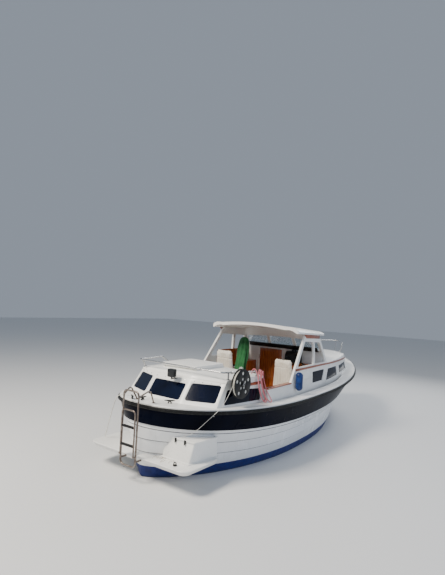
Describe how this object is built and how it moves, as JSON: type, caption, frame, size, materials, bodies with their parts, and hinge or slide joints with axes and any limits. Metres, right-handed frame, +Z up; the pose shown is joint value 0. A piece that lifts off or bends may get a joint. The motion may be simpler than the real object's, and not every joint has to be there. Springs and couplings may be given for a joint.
{
  "type": "motor cruiser",
  "caption": "Double-ended lapstrake motor cruiser with aft cabin, open-backed wheelhouse, fore cabin and swim platform, afloat.",
  "frame": {"origin": "on the centreline at the waterline, amidships", "axes": "+X to the bow, +Y to port, +Z up"},
  "size_m": [7.389, 2.548, 2.7937],
  "materials": {
    "navy_gelcoat": "glossy near-black navy band",
    "white_gelcoat": "glossy white hull",
    "blue_antifouling": "matt deep blue bottom paint",
    "black_rubber": "black rub rail",
    "deck_white": "white moulded deck",
    "dark_glass": "dark tinted window",
    "clear_glass": "clear window",
    "mahogany": "varnished mahogany",
    "stainless": "polished stainless steel",
    "cream_leather": "cream upholstery",
    "black_plastic": "black plastic",
    "grey_plastic": "dark grey plastic",
    "blue_plastic": "blue fender",
    "engine_paint": "painted engine block",
    "bronze": "bronze propeller",
    "pink_rope": "pink rope",
    "white_rope": "white rope",
    "green_cloth": "green cloth"
  },
  "bodies": {
    "hull": {"sheer_strake": "navy_gelcoat", "hull_topsides": "white_gelcoat", "hull_bottom": "blue_antifouling", "rub_rail": "black_rubber", "deck": "deck_white", "aft_cabin": "deck_white", "aft_cabin_roof": "deck_white", "aft_cabin_glass": "dark_glass", "aft_bulkhead": "mahogany", "coaming": "deck_white", "coaming_caps": "mahogany", "cockpit_liner": "deck_white", "cockpit_sole": "mahogany", "fore_bulkhead": "mahogany", "berths": "deck_white", "fore_cabin": "deck_white", "fore_cabin_glass": "dark_glass", "handrails": "mahogany", "wheelhouse_frame": "deck_white", "wheelhouse_glass": "clear_glass", "hardtop": "deck_white", "hardtop_trim": "mahogany", "helm_seat": "cream_leather", "mate_seat": "cream_leather", "seat_bases": "deck_white", "console": "mahogany", "port_locker": "mahogany", "engine": "engine_paint", "roof_rail": "stainless", "pulpit": "stainless", "swim_platform": "deck_white", "platform_locker": "deck_white", "locker_lid": "deck_white", "ladder_frame": "stainless", "reel_bracket": "stainless", "cleats": "black_plastic", "floodlight": "grey_plastic", "bow_eye": "stainless", "fender": "blue_plastic", "rope_hank": "pink_rope", "line_coil": "white_rope", "green_cover": "green_cloth", "platform_stay": "white_rope"},
    "aft_hatch": {"aft_hatch": "deck_white"},
    "aft_door": {"aft_door": "mahogany"},
    "fore_door": {"fore_door": "mahogany"},
    "fore_hatch": {"fore_hatch": "deck_white"},
    "steering_wheel": {"steering_wheel": "black_plastic"},
    "rudder": {"rudder": "bronze"},
    "propeller": {"propeller": "bronze"},
    "line_reel": {"line_reel": "black_plastic"},
    "ladder_fold": {"ladder_fold": "stainless"}
  },
  "joints": [
    {"name": "aft_hatch_hinge", "type": "hinge", "parent": "hull", "child": "aft_hatch", "pos_m": [-2.12, 0.21, 1.369], "axis": [0, -1, 0], "range_deg": [0, 90]},
    {"name": "aft_door_hinge", "type": "hinge", "parent": "hull", "child": "aft_door", "pos_m": [-1.4, 0.477, 0.9], "axis": [0, 0, 1], "range_deg": [0, 95]},
    {"name": "fore_door_hinge", "type": "hinge", "parent": "hull", "child": "fore_door", "pos_m": [0.9357, 0.557, 0.9], "axis": [0, 0, -1], "range_deg": [0, 90]},
    {"name": "fore_hatch_hinge", "type": "hinge", "parent": "hull", "child": "fore_hatch", "pos_m": [2.342, 0, 1.441], "axis": [0, 1, 0], "range_deg": [0, 90]},
    {"name": "wheel_turn", "type": "hinge", "parent": "hull", "child": "steering_wheel", "pos_m": [0.572, -0.53, 1.19], "axis": [-0.8829, 0, 0.4695], "range_deg": [-540, 540]},
    {"name": "rudder_turn", "type": "hinge", "parent": "hull", "child": "rudder", "pos_m": [-2.7, 0, -0.4], "axis": [0, 0, 1], "range_deg": [-35, 35]},
    {"name": "propeller_spin", "type": "hinge", "parent": "hull", "child": "propeller", "pos_m": [-2.48, 0, -0.44], "axis": [0.9914, 0, 0.1305], "continuous": true},
    {"name": "reel_spin", "type": "hinge", "parent": "hull", "child": "line_reel", "pos_m": [-2.105, -0.975, 1.3], "axis": [0, 1, 0], "continuous": true},
    {"name": "ladder_fold_hinge", "type": "hinge", "parent": "hull", "child": "ladder_fold", "pos_m": [-3.29, 0, 0.36], "axis": [0, -1, 0], "range_deg": [0, 160]}
  ],
  "couplings": [
    {"joint": "rudder_turn", "follows": "wheel_turn", "ratio": -0.0648}
  ]
}
